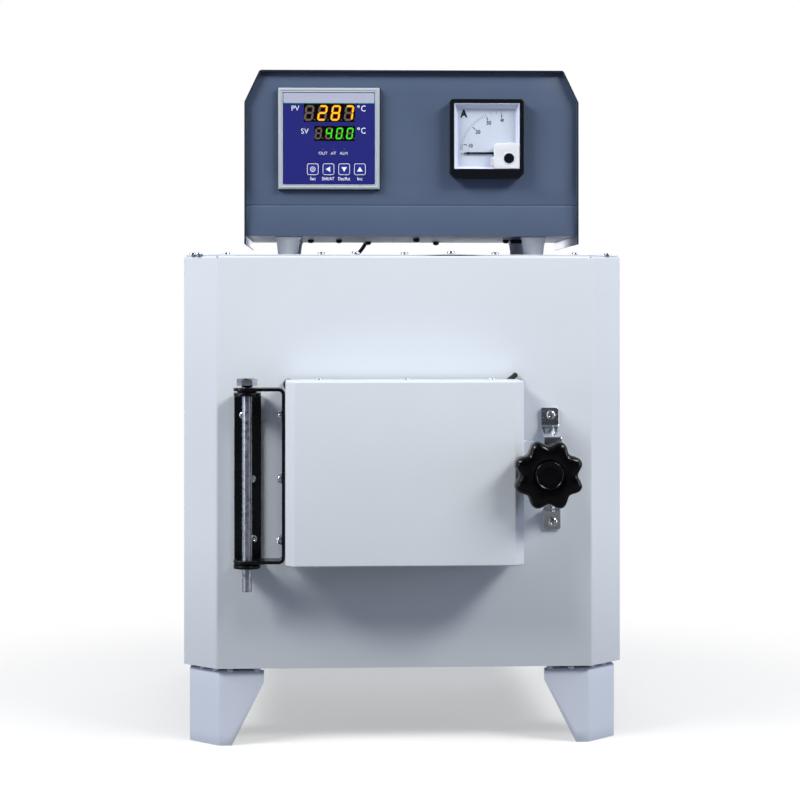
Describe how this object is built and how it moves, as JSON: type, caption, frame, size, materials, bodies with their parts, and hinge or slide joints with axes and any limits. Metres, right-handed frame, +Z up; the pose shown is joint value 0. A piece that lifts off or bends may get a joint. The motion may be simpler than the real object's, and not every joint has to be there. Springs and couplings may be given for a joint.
{
  "type": "dental furnace",
  "caption": "Bench-top box furnace with a hinged front door, a star-knob latch, sheet-metal legs and a control box with a temperature controller and an ammeter on top.",
  "frame": {"origin": "centre of the underside of the object's box, on the bench", "axes": "+X to the right seen from the front, +Y to the back, +Z up; the door faces -Y"},
  "size_m": [0.42, 0.5776, 0.6393],
  "materials": {
    "cabinet_enamel": "satin",
    "control_enamel": "satin",
    "black_steel": "satin",
    "zinc_steel": "satin",
    "black_plastic": "matte",
    "grey_plastic": "matte",
    "white_plastic": "satin",
    "controller_label": "satin",
    "display_black": "gloss",
    "dial_card": "matte",
    "clear_window": "gloss",
    "refractory": "matte",
    "ceramic_fibre": "matte",
    "heating_wire": "matte",
    "sheath_ceramic": "matte",
    "gasket_rope": "matte",
    "lead_rubber": "matte",
    "foot_plastic": "matte"
  },
  "bodies": {
    "furnace": {"cabinet_shell": "cabinet_enamel", "top_panel": "cabinet_enamel", "base_panel": "cabinet_enamel", "rear_panel": "cabinet_enamel", "leg_front_left": "cabinet_enamel", "leg_front_right": "cabinet_enamel", "leg_rear_left": "cabinet_enamel", "leg_rear_right": "cabinet_enamel", "mouth_frame": "zinc_steel", "muffle": "refractory", "heating_coil": "heating_wire", "insulation": "ceramic_fibre", "thermocouple_probe": "sheath_ceramic", "terminal_block": "sheath_ceramic", "terminal_cover": "cabinet_enamel", "hinge_bracket_cabinet": "black_steel", "hinge_pin": "zinc_steel", "hinge_washer_lower": "zinc_steel", "hinge_washer_upper": "zinc_steel", "keeper_strap": "zinc_steel", "keeper_screw_upper": "zinc_steel", "keeper_screw_lower": "zinc_steel", "control_cover": "control_enamel", "control_panel": "control_enamel", "control_base": "control_enamel", "control_back": "control_enamel", "control_foot_front_left": "foot_plastic", "control_foot_front_right": "foot_plastic", "control_foot_rear_left": "foot_plastic", "control_foot_rear_right": "foot_plastic", "controller_housing": "grey_plastic", "controller_face": "controller_label", "process_display": "display_black", "set_display": "display_black", "ammeter_housing": "black_plastic", "ammeter_dial": "dial_card", "ammeter_window": "clear_window", "movement_cover": "white_plastic", "power_relay": "zinc_steel", "lead_gland_control": "black_plastic", "lead_gland_furnace": "black_plastic", "mains_gland": "black_plastic", "heater_gland": "black_plastic", "thermocouple_lead": "lead_rubber"},
    "door": {"door_shell": "cabinet_enamel", "door_back_plate": "zinc_steel", "door_insulation": "ceramic_fibre", "door_plug": "refractory", "door_gasket": "gasket_rope", "hinge_bracket_door": "black_steel", "latch_tongue": "cabinet_enamel"},
    "latch_knob": {"star_knob": "black_plastic", "knob_cap": "black_plastic", "latch_spindle": "zinc_steel"},
    "menu_key": {"key_menu": "controller_label"},
    "shift_key": {"key_shift": "controller_label"},
    "down_key": {"key_down": "controller_label"},
    "up_key": {"key_up": "controller_label"},
    "needle": {"ammeter_needle": "black_plastic"},
    "zero_adjuster": {"zero_screw": "black_plastic"}
  },
  "joints": [
    {"name": "door_hinge", "type": "hinge", "parent": "furnace", "child": "door", "pos_m": [-0.1486, -0.2292, 0.2584], "axis": [0, 0, -1], "range_deg": [0, 135]},
    {"name": "latch_turn", "type": "hinge", "parent": "door", "child": "latch_knob", "pos_m": [0.1266, -0.2472, 0.2615], "axis": [0, 1, 0], "range_deg": [0, 90]},
    {"name": "menu_key_press", "type": "slide", "parent": "furnace", "child": "menu_key", "axis": [0.0227, 0.9997, 0], "range_m": [0, 0.0006], "stiffness_N_per_m": 800},
    {"name": "shift_key_press", "type": "slide", "parent": "furnace", "child": "shift_key", "axis": [0.0227, 0.9997, 0], "range_m": [0, 0.0006], "stiffness_N_per_m": 800},
    {"name": "down_key_press", "type": "slide", "parent": "furnace", "child": "down_key", "axis": [0.0227, 0.9997, 0], "range_m": [0, 0.0006], "stiffness_N_per_m": 800},
    {"name": "up_key_press", "type": "slide", "parent": "furnace", "child": "up_key", "axis": [0.0227, 0.9997, 0], "range_m": [0, 0.0006], "stiffness_N_per_m": 800},
    {"name": "needle_swing", "type": "hinge", "parent": "furnace", "child": "needle", "pos_m": [0.09206, -0.19211, 0.5608], "axis": [0.0227, 0.9997, 0], "range_deg": [0, 90], "stiffness_Nm_per_rad": 0.0005},
    {"name": "zero_adjust_turn", "type": "hinge", "parent": "furnace", "child": "zero_adjuster", "pos_m": [0.09861, -0.19226, 0.5555], "axis": [0.0227, 0.9997, 0], "range_deg": [-45, 45]}
  ]
}
